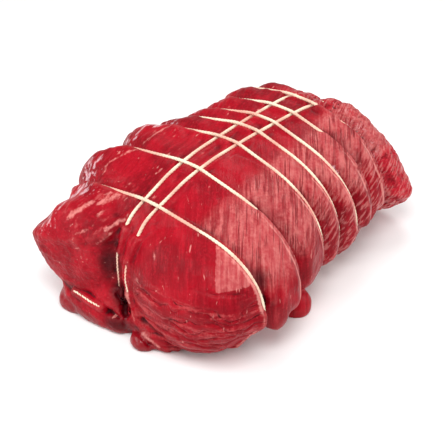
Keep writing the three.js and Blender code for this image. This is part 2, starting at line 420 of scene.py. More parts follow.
def twine_piece(name, points, closed):
    """A twisted twine along points, as a mesh."""
    data = bpy.data.curves.new(name, "CURVE")
    data.dimensions = "3D"
    data.twist_mode = "MINIMUM"
    data.bevel_mode = "OBJECT"
    data.bevel_object = strand_section()
    data.use_fill_caps = not closed
    spline = data.splines.new("POLY")
    spline.points.add(len(points) - 1)
    length = len(points) * ROUTE_STEP
    turns = round(PLIES * length / TWIST_LENGTH) / PLIES  # so that the plies meet at the seam
    for k, (point, place) in enumerate(zip(spline.points, points)):
        point.co = (*place, 1)
        point.tilt = 2 * math.pi * turns * k / len(points)
        point.radius = 1 + WEAR * noise.noise(Vector(place) / WEAR_LENGTH)
    spline.use_cyclic_u = closed
    rope = link(name, data)
    mesh = applied(rope)
    bpy.data.objects.remove(data.bevel_object)
    bpy.data.objects.remove(rope)
    cleaned(mesh)
    return link(name, mesh)


# ---- Meat ----
QUICK_VOXEL = 1.25 * MM
VOXEL = 0.85 * MM
MOST_TRIANGLES = 196000
STEADY = (QUICK_VOXEL / VOXEL) ** 2  # how many smoothings reach as far as one on the quick mesh
FACET_SOFTENING = 22  # smoothings of the whole
FLAP_SOFTENING = 3  # smoothings after the flaps are added
SECTION_MIDDLE = (0.001, 0.038)  # x and z of the middle of a section
SECTION_REACH = 0.055  # about how far the skin is from there
FIBRE_CROSSING = (0.79, 0.61)  # level direction across the right side's fibres
CREASE_SHARPNESS = 5


def grain(places, size, octaves, seed):
    """Fractal noise from about -1 to 1 at each place. size is one length or one for each axis."""
    shift = Vector((seed * 7.3, seed * 3.1, seed * 5.7))
    scaled = places / np.array(size)
    return np.array([noise.fractal(Vector(p) + shift, 1.0, 2.0, octaves) for p in scaled])


def creased(places, size, seed):
    """Noise whose zero crossings are sharp creases: 1 in a crease and 0 away from it."""
    return np.clip(1 - np.abs(grain(places, size, 2, seed)) * CREASE_SHARPNESS, 0, 1)


# Meat that is added to the solid, as middles and half sizes in millimetres: what fills the cleft
# behind the long ties, and the flaps.
FILLINGS = [
    ((-20, -101, 44), (9, 12, 34)),
    ((-20, -103, 28), (14, 14, 24)),
    ((-15, -104, 14), (17, 15, 16)),
    ((-8, -102, 58), (7, 9, 14)),
    ((5, -106, 16), (9, 13, 16)),
]
FLAPS = [
    ((-50, -111, 4), (16, 15, 10)),
    ((-30, -111, 3), (17, 14, 9)),
    ((-12, -110, 2), (13, 12, 7)),
    ((14, -115, 3), (11, 13, 8)),
    ((-5, -111, 7), (8, 9, 10)),
    ((72, -27, 5), (11, 11, 12)),
]
BALL = {"u_segments": 32, "v_segments": 16, "radius": 1}
# The core is the meat between the long ties: the x of its two sides, how far it lies inside the
# left one's middle line, its height over the floor, and every which point of the route it takes.
CORE_SIDES = (-17 * MM, 1 * MM)
CORE_INSET = 1.5 * MM
CORE_FOOT = 4 * MM
CORE_EVERY = 4


def add_core(shape):
    """Adds the meat that the long ties lie on: their outline, from one to the other."""
    tie = ties["long_tie_left"]
    inward = tie.centre - tie.taut
    inward /= np.linalg.norm(inward, axis=1)[:, None]
    corners = (tie.taut + inward * CORE_INSET)[::CORE_EVERY]
    ring = [shape.verts.new((CORE_SIDES[0], y, max(z, CORE_FOOT))) for _, y, z in corners]
    face = shape.faces.new(ring)
    grown = bmesh.ops.extrude_face_region(shape, geom=[face])["geom"]
    far = [part for part in grown if isinstance(part, bmesh.types.BMVert)]
    bmesh.ops.translate(shape, verts=far, vec=(CORE_SIDES[1] - CORE_SIDES[0], 0, 0))


def add_balls(shape, balls):
    for middle, half in balls:
        stretch = Matrix.LocRotScale(Vector(middle) * MM, None, Vector(half) * MM)
        bmesh.ops.create_uvsphere(shape, matrix=stretch, **BALL)


def remeshed(shape, smoothing):
    """The shape's solids as one even mesh of small quads, smoothed so many times."""
    bmesh.ops.recalc_face_normals(shape, faces=shape.faces)
    mesh = bpy.data.meshes.new("meat_start")
    shape.to_mesh(mesh)
    shape.free()
    start = link("meat_start", mesh)
    remesh = start.modifiers.new("remesh", "REMESH")
    remesh.mode = "VOXEL"
    remesh.voxel_size = VOXEL
    smooth = start.modifiers.new("smooth", "SMOOTH")
    smooth.factor = 0.5
    smooth.iterations = round(smoothing * STEADY)
    even = applied(start)
    bpy.data.objects.remove(start)
    return even


def remeshed_meat():
    """The CAD meat with its fillings, rounded off, and then with its crisper flaps."""
    shape = bmesh.new()
    add_core(shape)
    add_balls(shape, FILLINGS)
    shape.from_mesh(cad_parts["meat"].data)
    bmesh.ops.remove_doubles(shape, verts=shape.verts, dist=SAME_PLACE)
    rounded = remeshed(shape, FACET_SOFTENING)
    shape = bmesh.new()
    shape.from_mesh(rounded)
    add_balls(shape, FLAPS)
    return link("roast_meat", remeshed(shape, FLAP_SOFTENING))


class Surface:
    """The meat's vertices while it is being shaped."""

    def __init__(self, piece):
        self.mesh = piece.data
        edges = np.empty(len(self.mesh.edges) * 2, dtype=np.int32)
        self.mesh.edges.foreach_get("vertices", edges)
        self.ends = edges.reshape(-1, 2)
        self.read()

    def read(self):
        """Takes the places and normals of the vertices from the mesh."""
        for name, kind in (("places", "co"), ("normals", "normal")):
            values = np.empty(len(self.mesh.vertices) * 3)
            self.mesh.vertices.foreach_get(kind, values)
            setattr(self, name, values.reshape(-1, 3))

    def spread(self, amount, times):
        """The amount at each vertex, averaged with its neighbours a number of times."""
        first, second = self.ends[:, 0], self.ends[:, 1]
        count = len(self.places)
        share = np.bincount(first, minlength=count) + np.bincount(second, minlength=count)
        for _ in range(round(times * STEADY)):
            total = np.bincount(first, amount[second], count)
            total += np.bincount(second, amount[first], count)
            amount = 0.5 * amount + 0.5 * total / share
        return amount

    def standing(self, times):
        """How far each vertex stands out of its surroundings."""
        level = np.stack([self.spread(self.places[:, k], times) for k in range(3)], axis=1)
        return np.einsum("ij,ij->i", self.places - level, self.normals)

    def push(self, distance):
        """Moves every vertex out by its distance."""
        self.move(self.normals * distance[:, None])

    def move(self, shift):
        moved = self.places + shift
        moved[:, 2] = np.maximum(moved[:, 2], 0)
        self.mesh.vertices.foreach_set("co", moved.ravel())
        self.mesh.update()
        self.read()

    def paint(self, name, values, kind="FLOAT", field="value"):
        """Writes a number or a place for each vertex, for the material to read."""
        layer = self.mesh.attributes.new(name, kind, "POINT")
        layer.data.foreach_set(field, np.ascontiguousarray(values, dtype=np.float32).ravel())

    def turn(self):
        """Angle round the roast, 0 at the right and a quarter turn at the top."""
        away = self.places[:, [0, 2]] - np.array(SECTION_MIDDLE)
        return np.arctan2(away[:, 1], away[:, 0])

    def wrapped(self):
        """Places in a skin unrolled round the roast: across the fibres, along them and nothing."""
        across = self.places[:, :2] @ np.array(FIBRE_CROSSING)
        around = (self.turn() + math.pi / 2) % (2 * math.pi)
        return np.stack([across, around * SECTION_REACH, 0 * around], axis=1)

    def within(self, spots):
        """How far inside ellipsoids each place is: 1 at a middle, 0 on an edge, -1 far outside.
        An ellipsoid is a middle and its half sizes, in millimetres."""
        depth = np.full(len(self.places), -1.0)
        for middle, half in spots:
            away = (self.places - np.array(middle) * MM) / (np.array(half) * MM)
            depth = np.maximum(depth, 1 - np.linalg.norm(away, axis=1))
        return depth

    def nearest(self, points):
        """The distance of each place from a line through points in millimetres."""
        distance = np.full(len(self.places), 1.0)
        for start, end in zip(points[:-1], points[1:]):
            start, end = np.array(start) * MM, np.array(end) * MM
            leg = end - start
            share = np.clip(((self.places - start) @ leg) / (leg @ leg), 0, 1)
            away = self.places - start - share[:, None] * leg
            distance = np.minimum(distance, np.linalg.norm(away, axis=1))
        return distance

    def along(self, lines):
        """How far inside bands along lines each place is: 1 in the middle, 0 on an edge and -1
        far outside. A line is its half width and its points, in millimetres."""
        depth = np.full(len(self.places), -1.0)
        for width, points in lines:
            depth = np.maximum(depth, 1 - self.nearest(points) / (width * MM))
        return depth


# How each cross tie is pressed in at the right side and at the left one: the turn round the roast
# from which the meat in front of it stands over it, in degrees, how far it stands over it, and how
# deep the valley behind it is, in millimetres.
PRESSED_RIGHT = [
    (20, 1.0, 6.0),
    (42, 3.4, 8.5),
    (28, 2.2, 7.0),
    (28, 2.0, 6.5),
    (28, 2.2, 6.5),
    (50, 2.8, 6.0),
    (66, 3.2, 6.0),
]
PRESSED_LEFT = [
    (132, 4.4, 2.5),
    (132, 3.6, 2.5),
    (122, 3.4, 2.5),
    (128, 2.8, 2.0),
    (124, 2.8, 2.0),
    (118, 2.8, 2.0),
    (106, 2.6, 2.0),
]
# The turns in the middle of the pressed right side and of the left one, and how far past their
# ends nothing and everything is pressed, in degrees.
RIGHT_MIDDLE, LEFT_MIDDLE = -15, 168
PRESS_FADE = (14, -8)
LEAST_STAND, LEAST_DIP = 0.3, 0.2  # what is left of both between the two sides
PRESS_REACH = 19 * MM  # how far from a tie's plane the meat is pressed
# How far over or under their middle lines none and all of the meat is pressed.
CROSS_CLOSE, LONG_CLOSE = (14 * MM, 7 * MM), (9 * MM, 4 * MM)
# Past a tie, in millimetres: where the meat stands over it, dips behind it and is in its shade,
# and how broadly it comes up to the tie.
RIM = (-16, -3, -1.8, -0.3)
VALLEY = (0.2, 2.2, 3, 17)
SHADED = (0, 1, 3, 11)
COMING_UP = 4.5
FULL_SHADE = 8  # the depth of a valley, in millimetres, that is all in shade
WAVER, UNEVENNESS = 0.5, 0.6  # of the rim's place, in millimetres, and of its height
# How far a cross tie's middle line stands over the meat, how much it is sunk behind the first
# tie, both in millimetres, from which turn to which, and half the width of that groove.
TIE_STANDS, SUNK_DEPTH = 0.4, 1.1
SUNK_TURNS = (64, 34)
GROOVE_REACH = 1.4 * MM
BED_REACH = 2.6 * MM  # half the width of a tie's bed, which is left smooth
CLEFT_Y = (-96 * MM, -108 * MM)  # where the long ties go down into the cleft
# Where the meat closes over a tie: how far it stands over it, a half width and points, in
# millimetres.
CLOSED = [
    (2.2, 5, [(-13, -103, 73), (-13, -107, 68), (-12, -110, 61)]),
    (1.8, 5, [(-2, -105, 70), (-2, -112, 58)]),
    (2.4, 8, [(-12, -112, 30), (-12, -112, 14)]),
    (2.4, 8, [(-4, -112, 28), (-2, -112, 14)]),
    (2.4, 9, [(-14, 94, 86), (-14, 112, 82), (-14, 124, 70)]),
    (2.4, 11, [(7, 91, 87), (8, 112, 80), (9, 124, 66)]),
]
# Where a cross tie is hidden: the turns round the roast that it is hidden between, in degrees, and
# how far the meat stands over its middle line, in millimetres.
HIDDEN = [
    ("cross_tie_1", 6, -80, 2.8),
    ("cross_tie_2", 43, 6, 2.6),
    ("cross_tie_6", 58, -40, 2.4),
    ("cross_tie_7", 79, 57, 2.6),
    ("cross_tie_7", 50, -40, 2.4),
]
# The stretches of the long ties that show in the cleft as a thin line: their heights.
THREADS = [("long_tie_left", 56, 30), ("long_tie_right", 54, 34)]
THREAD_COVER = 0.85 * MM  # how far the meat there stands over their middle line


def outward_from(tie, places):
    """The direction of each place from the tie's centre, in the tie's plane."""
    away = places - tie.centre
    away -= np.outer(away @ tie.normal, tie.normal)
    return away / np.linalg.norm(away, axis=1)[:, None]


def pressed(turn, k):
    """How far the meat stands over cross tie k in front and dips behind it, in millimetres."""
    stand, dip = LEAST_STAND, LEAST_DIP
    sides = (PRESSED_RIGHT[k], RIGHT_MIDDLE), (PRESSED_LEFT[k], LEFT_MIDDLE)
    for (start, over, depth), middle in sides:
        reach = abs(start - middle)
        away = np.abs((turn - middle + 180) % 360 - 180)
        share = stepped(away - reach, *PRESS_FADE)
        stand, dip = stand + share * over, dip + share * depth
    return stand, dip


def press_cross_tie(surface, k, valleys):
    """Presses cross tie k in: the meat stands over it in front and dips behind it."""
    tie = ties[CROSS_TIES[k]]
    offset, gap = tie.measure(surface.places)
    near = np.abs(offset) < PRESS_REACH
    places, offset, gap = surface.places[near], offset[near], gap[near]
    skin = surface.wrapped()[near]
    turn = (np.degrees(surface.turn()[near]) + 90) % 360 - 90
    past = offset / MM + WAVER * grain(skin, 14 * MM, 2, 30 + k)
    uneven = 1 + UNEVENNESS * grain(skin, 12 * MM, 2, 40 + k)
    stand, dip = pressed(turn, k)
    close = stepped(np.abs(gap), *CROSS_CLOSE)
    rise = gap * bell(past, 0, COMING_UP)
    rise += (stand * uneven * window(past, *RIM) - dip * window(past, *VALLEY)) * MM
    sunk = SUNK_DEPTH * stepped(turn, *SUNK_TURNS) if k else 0
    rise += (sunk - TIE_STANDS) * MM * bell(offset, 0, GROOVE_REACH)
    for hidden, start, end, over in HIDDEN:
        if hidden == CROSS_TIES[k]:
            cover = window(turn, end - 5, end + 5, start - 4, start + 4)
            cover *= bell(offset, -0.5 * MM, 3.2 * MM)
            rise += cover * (gap + over * MM - rise)
    # Painted shade in the valley behind the tie.
    shade = close * window(past, *SHADED) * dip / FULL_SHADE
    valleys[near] = np.maximum(valleys[near], shade)
    surface.bedded[near] = np.maximum(surface.bedded[near], close * bell(offset, 0, BED_REACH))
    shift = np.zeros_like(surface.places)
    shift[near] = outward_from(tie, places) * (close * rise)[:, None]
    surface.move(shift)


def press_long_tie(surface, tie):
    """Beds a long tie between low banks of meat, deeper where it goes down into the cleft."""
    offset, gap = tie.measure(surface.places)
    close = stepped(np.abs(gap), *LONG_CLOSE)
    uneven = 0.5 + 0.5 * grain(surface.places, 12 * MM, 2, 51)
    front = stepped(surface.places[:, 1], *CLEFT_Y)
    rise = (gap + (1.4 * front - 0.3) * MM) * bell(offset, 0, (3.6 + 2.6 * front) * MM)
    rise += 1.0 * MM * uneven * bell(np.abs(offset), 3.0 * MM, 1.6 * MM)
    rise -= 0.4 * MM * bell(offset, 0, 1.3 * MM)
    surface.bedded = np.maximum(surface.bedded, close * bell(offset, 0, BED_REACH))
    surface.move(outward_from(tie, surface.places) * (close * rise)[:, None])


def press_ties(surface):
    """Presses the ties into the meat, and closes it over them here and there."""
    valleys = np.zeros(len(surface.places))
    surface.bedded = np.zeros(len(surface.places))
    for k in range(len(CROSS_TIES)):
        press_cross_tie(surface, k, valleys)
    for name in LONG_TIES:
        press_long_tie(surface, ties[name])
    for over, width, points in CLOSED:
        surface.push(over * MM * stepped(surface.nearest(points), width * MM, 0.3 * width * MM))
    # The painted shade behind the ties, for the material to read.
    surface.paint("valleys", valleys)


def thin_threads(surface):
    """Lets only a thin line of the long ties show in the cleft."""
    for name, top, foot in THREADS:
        tie = ties[name]
        offset, gap = tie.measure(surface.places)
        cover = window(surface.places[:, 2] / MM, foot - 3, foot, top, top + 3)
        cover *= stepped(surface.places[:, 1], -100 * MM, -104 * MM) * bell(offset, 0, 2.4 * MM)
        cover *= stepped(np.abs(gap), 9 * MM, 5 * MM)
        surface.move(outward_from(tie, surface.places) * (cover * (gap + THREAD_COVER))[:, None])


LOOSE_END_FACES = (0.1, -0.75, 0.65)  # the direction that the meat under the loose end faces
LOOSE_END_COVER = 0.93 * MM  # how far that meat stands over its middle line
LOOSE_END_REACH = 26 * MM  # from its middle, what holds all the meat that is raised
# How far aside of it, and over or under it, none of the meat and all of it is raised.
LOOSE_END_ASIDE, LOOSE_END_AWAY = (4.5 * MM, 1.6 * MM), (9 * MM, 6 * MM)


def bed_loose_end(surface):
    """Raises the meat round the loose end until only its top shows."""
    out = np.array(LOOSE_END_FACES) / np.linalg.norm(LOOSE_END_FACES)
    route = loose_end_route()
    near = np.linalg.norm(surface.places - route.mean(0), axis=1) < LOOSE_END_REACH
    away = surface.places[near][:, None] - route[None]
    height = away @ out
    aside = np.linalg.norm(away - height[..., None] * out, axis=2)
    pick = np.arange(len(aside)), aside.argmin(1)
    height, aside = height[pick], aside[pick]
    rise = np.maximum(LOOSE_END_COVER - height, 0) * stepped(aside, *LOOSE_END_ASIDE)
    rise *= stepped(np.abs(height), *LOOSE_END_AWAY)
    shift = np.zeros_like(surface.places)
    shift[near] = np.outer(rise, out)
    surface.move(shift)


# ---- The meat's own shape and the places of its colours ----
# Where these parts of the meat begin and are fully themselves.
RIGHT_SIDE = (-0.15, 0.45)  # the cosine of the turn round the roast
BACK_END_Y, BACK_END_X = (74 * MM, 92 * MM), (-40 * MM, 0)
END_FACE = (50 * MM, 32 * MM)  # the distance from the middle of a section
LOW_FRONT_Z, LOW_FRONT_Y, LOW_FRONT_X = (61 * MM, 50 * MM), (-76 * MM, -96 * MM), (0, 14 * MM)
SMOOTH_FOOT = [((18, -124, 0), (26, 14, 13))]  # the part of the low front that isn't folded
# The turns round the right side, in degrees, between which the meat is pale, partly dry and rougher
# and partly a painted sheen where it faces the light, and how much lower they are in front and
# higher at the back, at places along Y.
PALE_BAND = (8, 26, 50, 72)
PALE_DROP_AT = (-50 * MM, 10 * MM, 40 * MM, 80 * MM)
PALE_DROP = (6, 0, 0, -9)
PALE_START = (-88 * MM, -76 * MM)
# The turns and the start along Y of the slanting strokes low on the right side.
LOW_SIDE, LOW_SIDE_START = (-50, -30, 18, 36), (-34 * MM, -8 * MM)
# How many smoothings level the surroundings of what stands out or is sunken, and its full height.
# What stands out gets a painted highlight, and what is sunken painted shade.
STANDING, SUNKEN = (20, 1.2 * MM), (90, 5 * MM)
# Pale rims, partly fat and partly a painted highlight: how far past a tie and how broad, the turn
# in their middle, and how far from it, in degrees, none and all of them shows.
RIM_PAST, RIM_REACH = -2.6 * MM, 1.1 * MM
RIM_MIDDLE, RIM_FADE = -10, (65, 35)
# The pale patch on the right lobe, partly dry, rougher meat and partly a painted sheen, lies in
# front of the first tie, past an upright edge across the fibres and over a level one.
PATCH_SIDE = -14 * MM
PATCH_FOOT = 64 * MM
PATCH_FADE = 10 * MM
# Silverskin on the outer edge of the left side, with a painted sheen, and a painted highlight on a
# rim.
SILVERSKIN_AND_SHEEN = [
    ((-72, -110, 68), (12, 26, 12)),
    ((-62, -92, 78), (12, 10, 7)),
    ((-74, -68, 78), (9, 12, 13)),
    ((-71, -32, 86), (9, 10, 8)),
    ((-64, -12, 90), (8, 8, 7)),
    ((-64, 6, 88), (9, 9, 7)),
    ((-60, 30, 90), (9, 9, 6)),
    ((56, 38, 76), (3, 3, 7)),
]
# Where pale streaks lie close together: on top of the left lobe and low behind the first tie.
STREAKED = [((-40, -98, 78), (34, 30, 20)), ((90, -60, 34), (12, 16, 20))]
# Painted shade: the cleft, what lies under the left lobe, and a slit on the right side.
SHADE_SPOTS = [
    ((-17, -114, 50), (14, 10, 24)),
    ((-10, -114, 28), (11, 9, 18)),
    ((-8, -122, 9), (16, 9, 9)),
    ((2, -114, 8), (8, 9, 12)),
    ((77, -76, 56), (6, 7, 15)),
]
# Creases, and ridges where the depth is negative: a depth, a width and a line's points.
CREASES = [
    (2.6, 2.0, [(-16, -104, 72), (-15, -108, 67), (-14, -112, 58), (-14, -112, 44)]),
    (4.4, 2.2, [(-14, -112, 42), (-10, -114, 33), (-5, -115, 26), (-3, -117, 18)]),
    (2.6, 2.0, [(-3, -117, 18), (-2, -119, 12), (-1, -119, 4)]),
    (1.2, 1.6, [(-61, -117, 16), (-52, -121, 17), (-45, -122, 18), (-36, -123, 18)]),
    (1.4, 1.9, [(-36, -123, 18), (-28, -123, 18), (-20, -123, 17)]),
    (4.0, 1.9, [(-15, -123, 16), (-12, -122, 16), (-6, -121, 14)]),
    (-1.6, 3.4, [(-78, -121, 51), (-67, -123, 55), (-52, -122, 59), (-41, -120, 62)]),
    (-1.6, 3.4, [(-41, -120, 62), (-31, -117, 65), (-22, -112, 69)]),
    (-1.4, 3.0, [(-54, -121, 24), (-40, -123, 25), (-26, -124, 25), (-14, -122, 23)]),
    (3.0, 1.5, [(2, -114, 12), (8, -119, 9), (15, -122, 8), (24, -123, 5), (34, -122, 3)]),
    (1.4, 3.0, [(-16, -110, 64), (-24, -116, 61), (-34, -119, 62)]),
    (1.6, 1.3, [(54, -116, 64), (68, -111, 63), (77, -102, 62), (88, -90, 62)]),
    (3.0, 1.5, [(71, -70, 69), (73, -71, 66), (76, -73, 59), (79, -76, 52), (84, -80, 40)]),
    (-1.6, 2.4, [(78, -69, 64), (82, -72, 56), (87, -75, 44)]),
    (1.6, 1.6, [(82, -72, 60), (85, -74, 52), (89, -77, 40)]),
    (1.4, 1.6, [(82, -67, 60), (86, -70, 54), (90, -73, 42)]),
]
# Pale lines and flecks of fat: a half width and the points of a line, in millimetres.
FAT_LINES = [
    (1.8, [(-3, -115, 34), (-1, -116, 28), (1, -117, 20), (8, -121, 14), (15, -121, 11)]),
    (1.8, [(15, -121, 11), (22, -121, 9), (28, -120, 6)]),
    (0.6, [(-16, -113, 55), (-15, -115, 40)]),
    (2.3, [(-50, -116, 74), (-46, -109, 78), (-44, -100, 80)]),
    (3.0, [(-39, -98, 80), (-37, -92, 80), (-32, -88, 83)]),
    (1.6, [(-41, -90, 81), (-37, -87, 83)]),
    (1.5, [(-33, -107, 77), (-33, -101, 78)]),
    (1.8, [(-23, -111, 72), (-20, -105, 75), (-17, -99, 77)]),
    (1.5, [(-26, -116, 64), (-21, -113, 68), (-19, -108, 71)]),
    (1.5, [(-42, -120, 65), (-34, -116, 70)]),
    (0.8, [(-19, -113, 60), (-16, -107, 65)]),
    (0.9, [(-30, -95, 80), (-24, -87, 84)]),
    (0.7, [(-26, -104, 76), (-20, -94, 80), (-15, -92, 81)]),
    (0.6, [(-24, -96, 79), (-16, -97, 79)]),
    (0.8, [(-60, -76, 80), (-60, -64, 86), (-52, -52, 91)]),
    (1.0, [(-55, -36, 90), (-57, -20, 92), (-59, -2, 89)]),
    (1.0, [(-36, -76, 83), (-34, -72, 85)]),
    (1.3, [(-51, -11, 95), (-53, -16, 93), (-54, -22, 92), (-53, -31, 93), (-55, -35, 90)]),
    (1.0, [(-49, -48, 93), (-53, -51, 92), (-56, -56, 90), (-59, -61, 88), (-62, -68, 84)]),
    (0.8, [(-49, -122, 50), (-48, -122, 51)]),
    (0.7, [(-33, -122, 35), (-32, -122, 36)]),
    (0.8, [(-41, -122, 55), (-38, -121, 57)]),
    (0.6, [(-55, -122, 42), (-54, -122, 43)]),
    (0.5, [(-21, -116, 58), (-18, -110, 64)]),
    (0.9, [(-53, -120, 63), (-52, -120, 66)]),
    (0.8, [(-25, -120, 46), (-23, -119, 46)]),
    (0.7, [(-38, -118, 68), (-36, -117, 70)]),
    (1.6, [(19, -111, 75), (21, -114, 71)]),
    (1.8, [(11, -119, 53), (11, -119, 52)]),
    (0.8, [(44, -116, 70), (44, -118, 66)]),
    (0.7, [(19, -103, 79), (19, -106, 77)]),
    (0.7, [(23, -98, 81), (23, -101, 79)]),
    (0.6, [(25, -105, 78), (25, -108, 76)]),
    (1.0, [(7, -119, 44), (8, -119, 41)]),
    (0.7, [(37, -120, 64), (39, -121, 60)]),
    (0.7, [(33, -121, 62), (36, -122, 58)]),
    (0.8, [(-5, -116, 53), (-3, -116, 51)]),
    (0.7, [(4, -63, 89), (14, -69, 86), (20, -73, 84)]),
    (0.5, [(9, -73, 87), (15, -72, 86)]),
    (0.4, [(29, -62, 87), (40, -75, 80)]),
    (0.9, [(17, -52, 91), (18, -53, 91)]),
]


def relief(surface):
    """Lumps, creases, and fibre bundles that run round the right side and along the left one."""
    places = surface.places
    x, y, z = places.T
    skin = surface.wrapped()
    right = stepped(np.cos(surface.turn()), *RIGHT_SIDE)
    back_end = stepped(y, *BACK_END_Y) * stepped(x, *BACK_END_X)
    low_front = stepped(z, *LOW_FRONT_Z) * stepped(y, *LOW_FRONT_Y) * stepped(x, *LOW_FRONT_X)
    low_front *= 1 - stepped(surface.within(SMOOTH_FOOT), 0, 0.3)
    lumps = grain(places, 20 * MM, 2, 1) * 0.8 + grain(places, 8 * MM, 2, 5) * 0.35
    bundles = grain(skin, (4.2 * MM, 30 * MM, 1), 2, 2)
    along = grain(places, (4 * MM, 34 * MM, 4 * MM), 2, 3)
    bent = places + grain(places, 16 * MM, 2, 8)[:, None] * 5 * MM
    swells = grain(bent, (18 * MM, 18 * MM, 6 * MM), 2, 11)
    folds = creased(bent, (30 * MM, 30 * MM, 7 * MM), 4)
    waves = creased(bent, (8 * MM, 8 * MM, 18 * MM), 9)
    # From here on, heights are in millimetres.
    rise = lumps + right * bundles * 0.3 + (1 - right) * along * 0.4
    rise += low_front * (0.7 * swells - 1.2 * folds)
    rise += back_end * (0.7 * grain(places, 6 * MM, 3, 10) - 1.1 * waves)
    for depth, width, points in CREASES:
        rise -= depth * bell(surface.nearest(points), 0, width * MM)
    surface.push(rise * MM * (1 - 0.75 * surface.bedded))
    surface.paint("right", right)
    surface.paint("back_end", back_end)
    from_middle = np.linalg.norm(places[:, [0, 2]] - np.array(SECTION_MIDDLE), axis=1)
    surface.paint("end_face", back_end * stepped(from_middle, *END_FACE))
    surface.paint("folds", low_front)


def paint_rims(surface):
    """The pale rims in front of the cross ties on the right side: partly fat and partly a painted
    highlight on the lit crests.
    """
    rims = np.zeros(len(surface.places))
    for name in CROSS_TIES:
        offset, _ = ties[name].measure(surface.places)
        rims = np.maximum(rims, bell(offset, RIM_PAST, RIM_REACH))
    away = np.abs(np.degrees(surface.turn()) - RIM_MIDDLE)
    surface.paint("rims", rims * stepped(away, *RIM_FADE))


def paint_meat(surface):
    """Writes where each look of the meat lies, as attributes of its vertices."""
    _, y, z = surface.places.T
    surface.paint("wrapped", surface.wrapped(), "FLOAT_VECTOR", "vector")
    # What stands out and what is sunken, for painted highlights and painted shade.
    surface.paint("standing", np.clip(surface.standing(STANDING[0]) / STANDING[1], -1, 1))
    surface.paint("sunken", np.clip(-surface.standing(SUNKEN[0]) / SUNKEN[1], -1, 1))
    # The pale band: partly dry, rougher meat and partly a painted sheen on the side that faces the
    # light.
    turn = np.degrees(surface.turn()) + np.interp(y, PALE_DROP_AT, PALE_DROP)
    surface.paint("pale", window(turn, *PALE_BAND) * stepped(y, *PALE_START))
    surface.paint("low_side", window(turn, *LOW_SIDE) * stepped(y, *LOW_SIDE_START))
    # Painted shade in the cleft, under the left lobe and in a slit on the right side.
    surface.paint("shade_spots", surface.within(SHADE_SPOTS))
    # The pale patch in front of the first tie: partly dry, rougher meat and partly a painted sheen.
    offset, _ = ties["cross_tie_1"].measure(surface.places)
    inside = np.minimum(surface.wrapped()[:, 0] - PATCH_SIDE, z - PATCH_FOOT)
    inside = np.minimum(inside, -1 * MM - offset)
    surface.paint("pale_patch", np.clip(inside / PATCH_FADE, -1, 1))
    # Silverskin, with a painted sheen along the left edges and a painted highlight on a rim.
    surface.paint("silverskin_and_sheen", surface.within(SILVERSKIN_AND_SHEEN))
    surface.paint("fat", surface.along(FAT_LINES))
    surface.paint("streaked", np.clip(surface.within(STREAKED) * 3, 0, 1))
    flaps = stepped(surface.within(FLAPS), -0.4, -0.05) * stepped(z, 15 * MM, 11 * MM)
    surface.paint("flaps", flaps * stepped(y, -100 * MM, -106 * MM))
    paint_rims(surface)


# ---- Materials ----
LEAN = rgb(164, 4, 26)
DEEP = rgb(126, 2, 18)
DARK = rgb(52, 2, 9)
IN_SLITS = between(0.2, DEEP, DARK)
# Painted shade behind the ties.
VALLEY_SHADE = between(0.35, DEEP, DARK)
BRIGHT = rgb(186, 24, 42)
ROSY = rgb(174, 66, 70)
PALE = rgb(194, 104, 101)
FATTY = rgb(224, 146, 138)
SILVER = rgb(226, 190, 196)
CREAM = rgb(242, 224, 198)
STAINED = rgb(228, 170, 150)
FLOOR = rgb(246, 246, 246)
# How many waves of a pattern fit in a metre: in every direction, along X, Y and Z, or on the skin
# of the right side across the fibres and along them.
BROAD, PATCHY, END_PATCHES, MOTTLED, FINE = 34, 80, 90, 230, 620
STAIN, FUZZ = 38, 2500
FINE_ALONG, FINE_ROUND = (420, 50, 420), (560, 70, 1)
BROAD_ALONG, BROAD_ROUND = (130, 18, 130), (150, 40, 1)
FLECKS_ALONG, FLECKS_ROUND = (330, 80, 330), (420, 150, 1)
LEVEL_FOLDS = (45, 45, 420)
ROUGH_END = (210, 210, 420)
STROKES_SIDE, STROKES_END = (150, 560, 1), (150, 560, 560)
SLIT_WAVES, SLIT_BREAKS = (340, 30, 1), (170, 80, 1)
SILVER_GRAIN = (330, 90, 330)
# How far strokes are turned, in degrees: on the side's skin, and on the end about Z and then Y.
SIDE_TURN, END_TURNS = -50, (-38, 50)


def blend(share, one, other):
    """The number one where share is 0 and the other where it is 1."""
    return one * (1 - share) + other * share


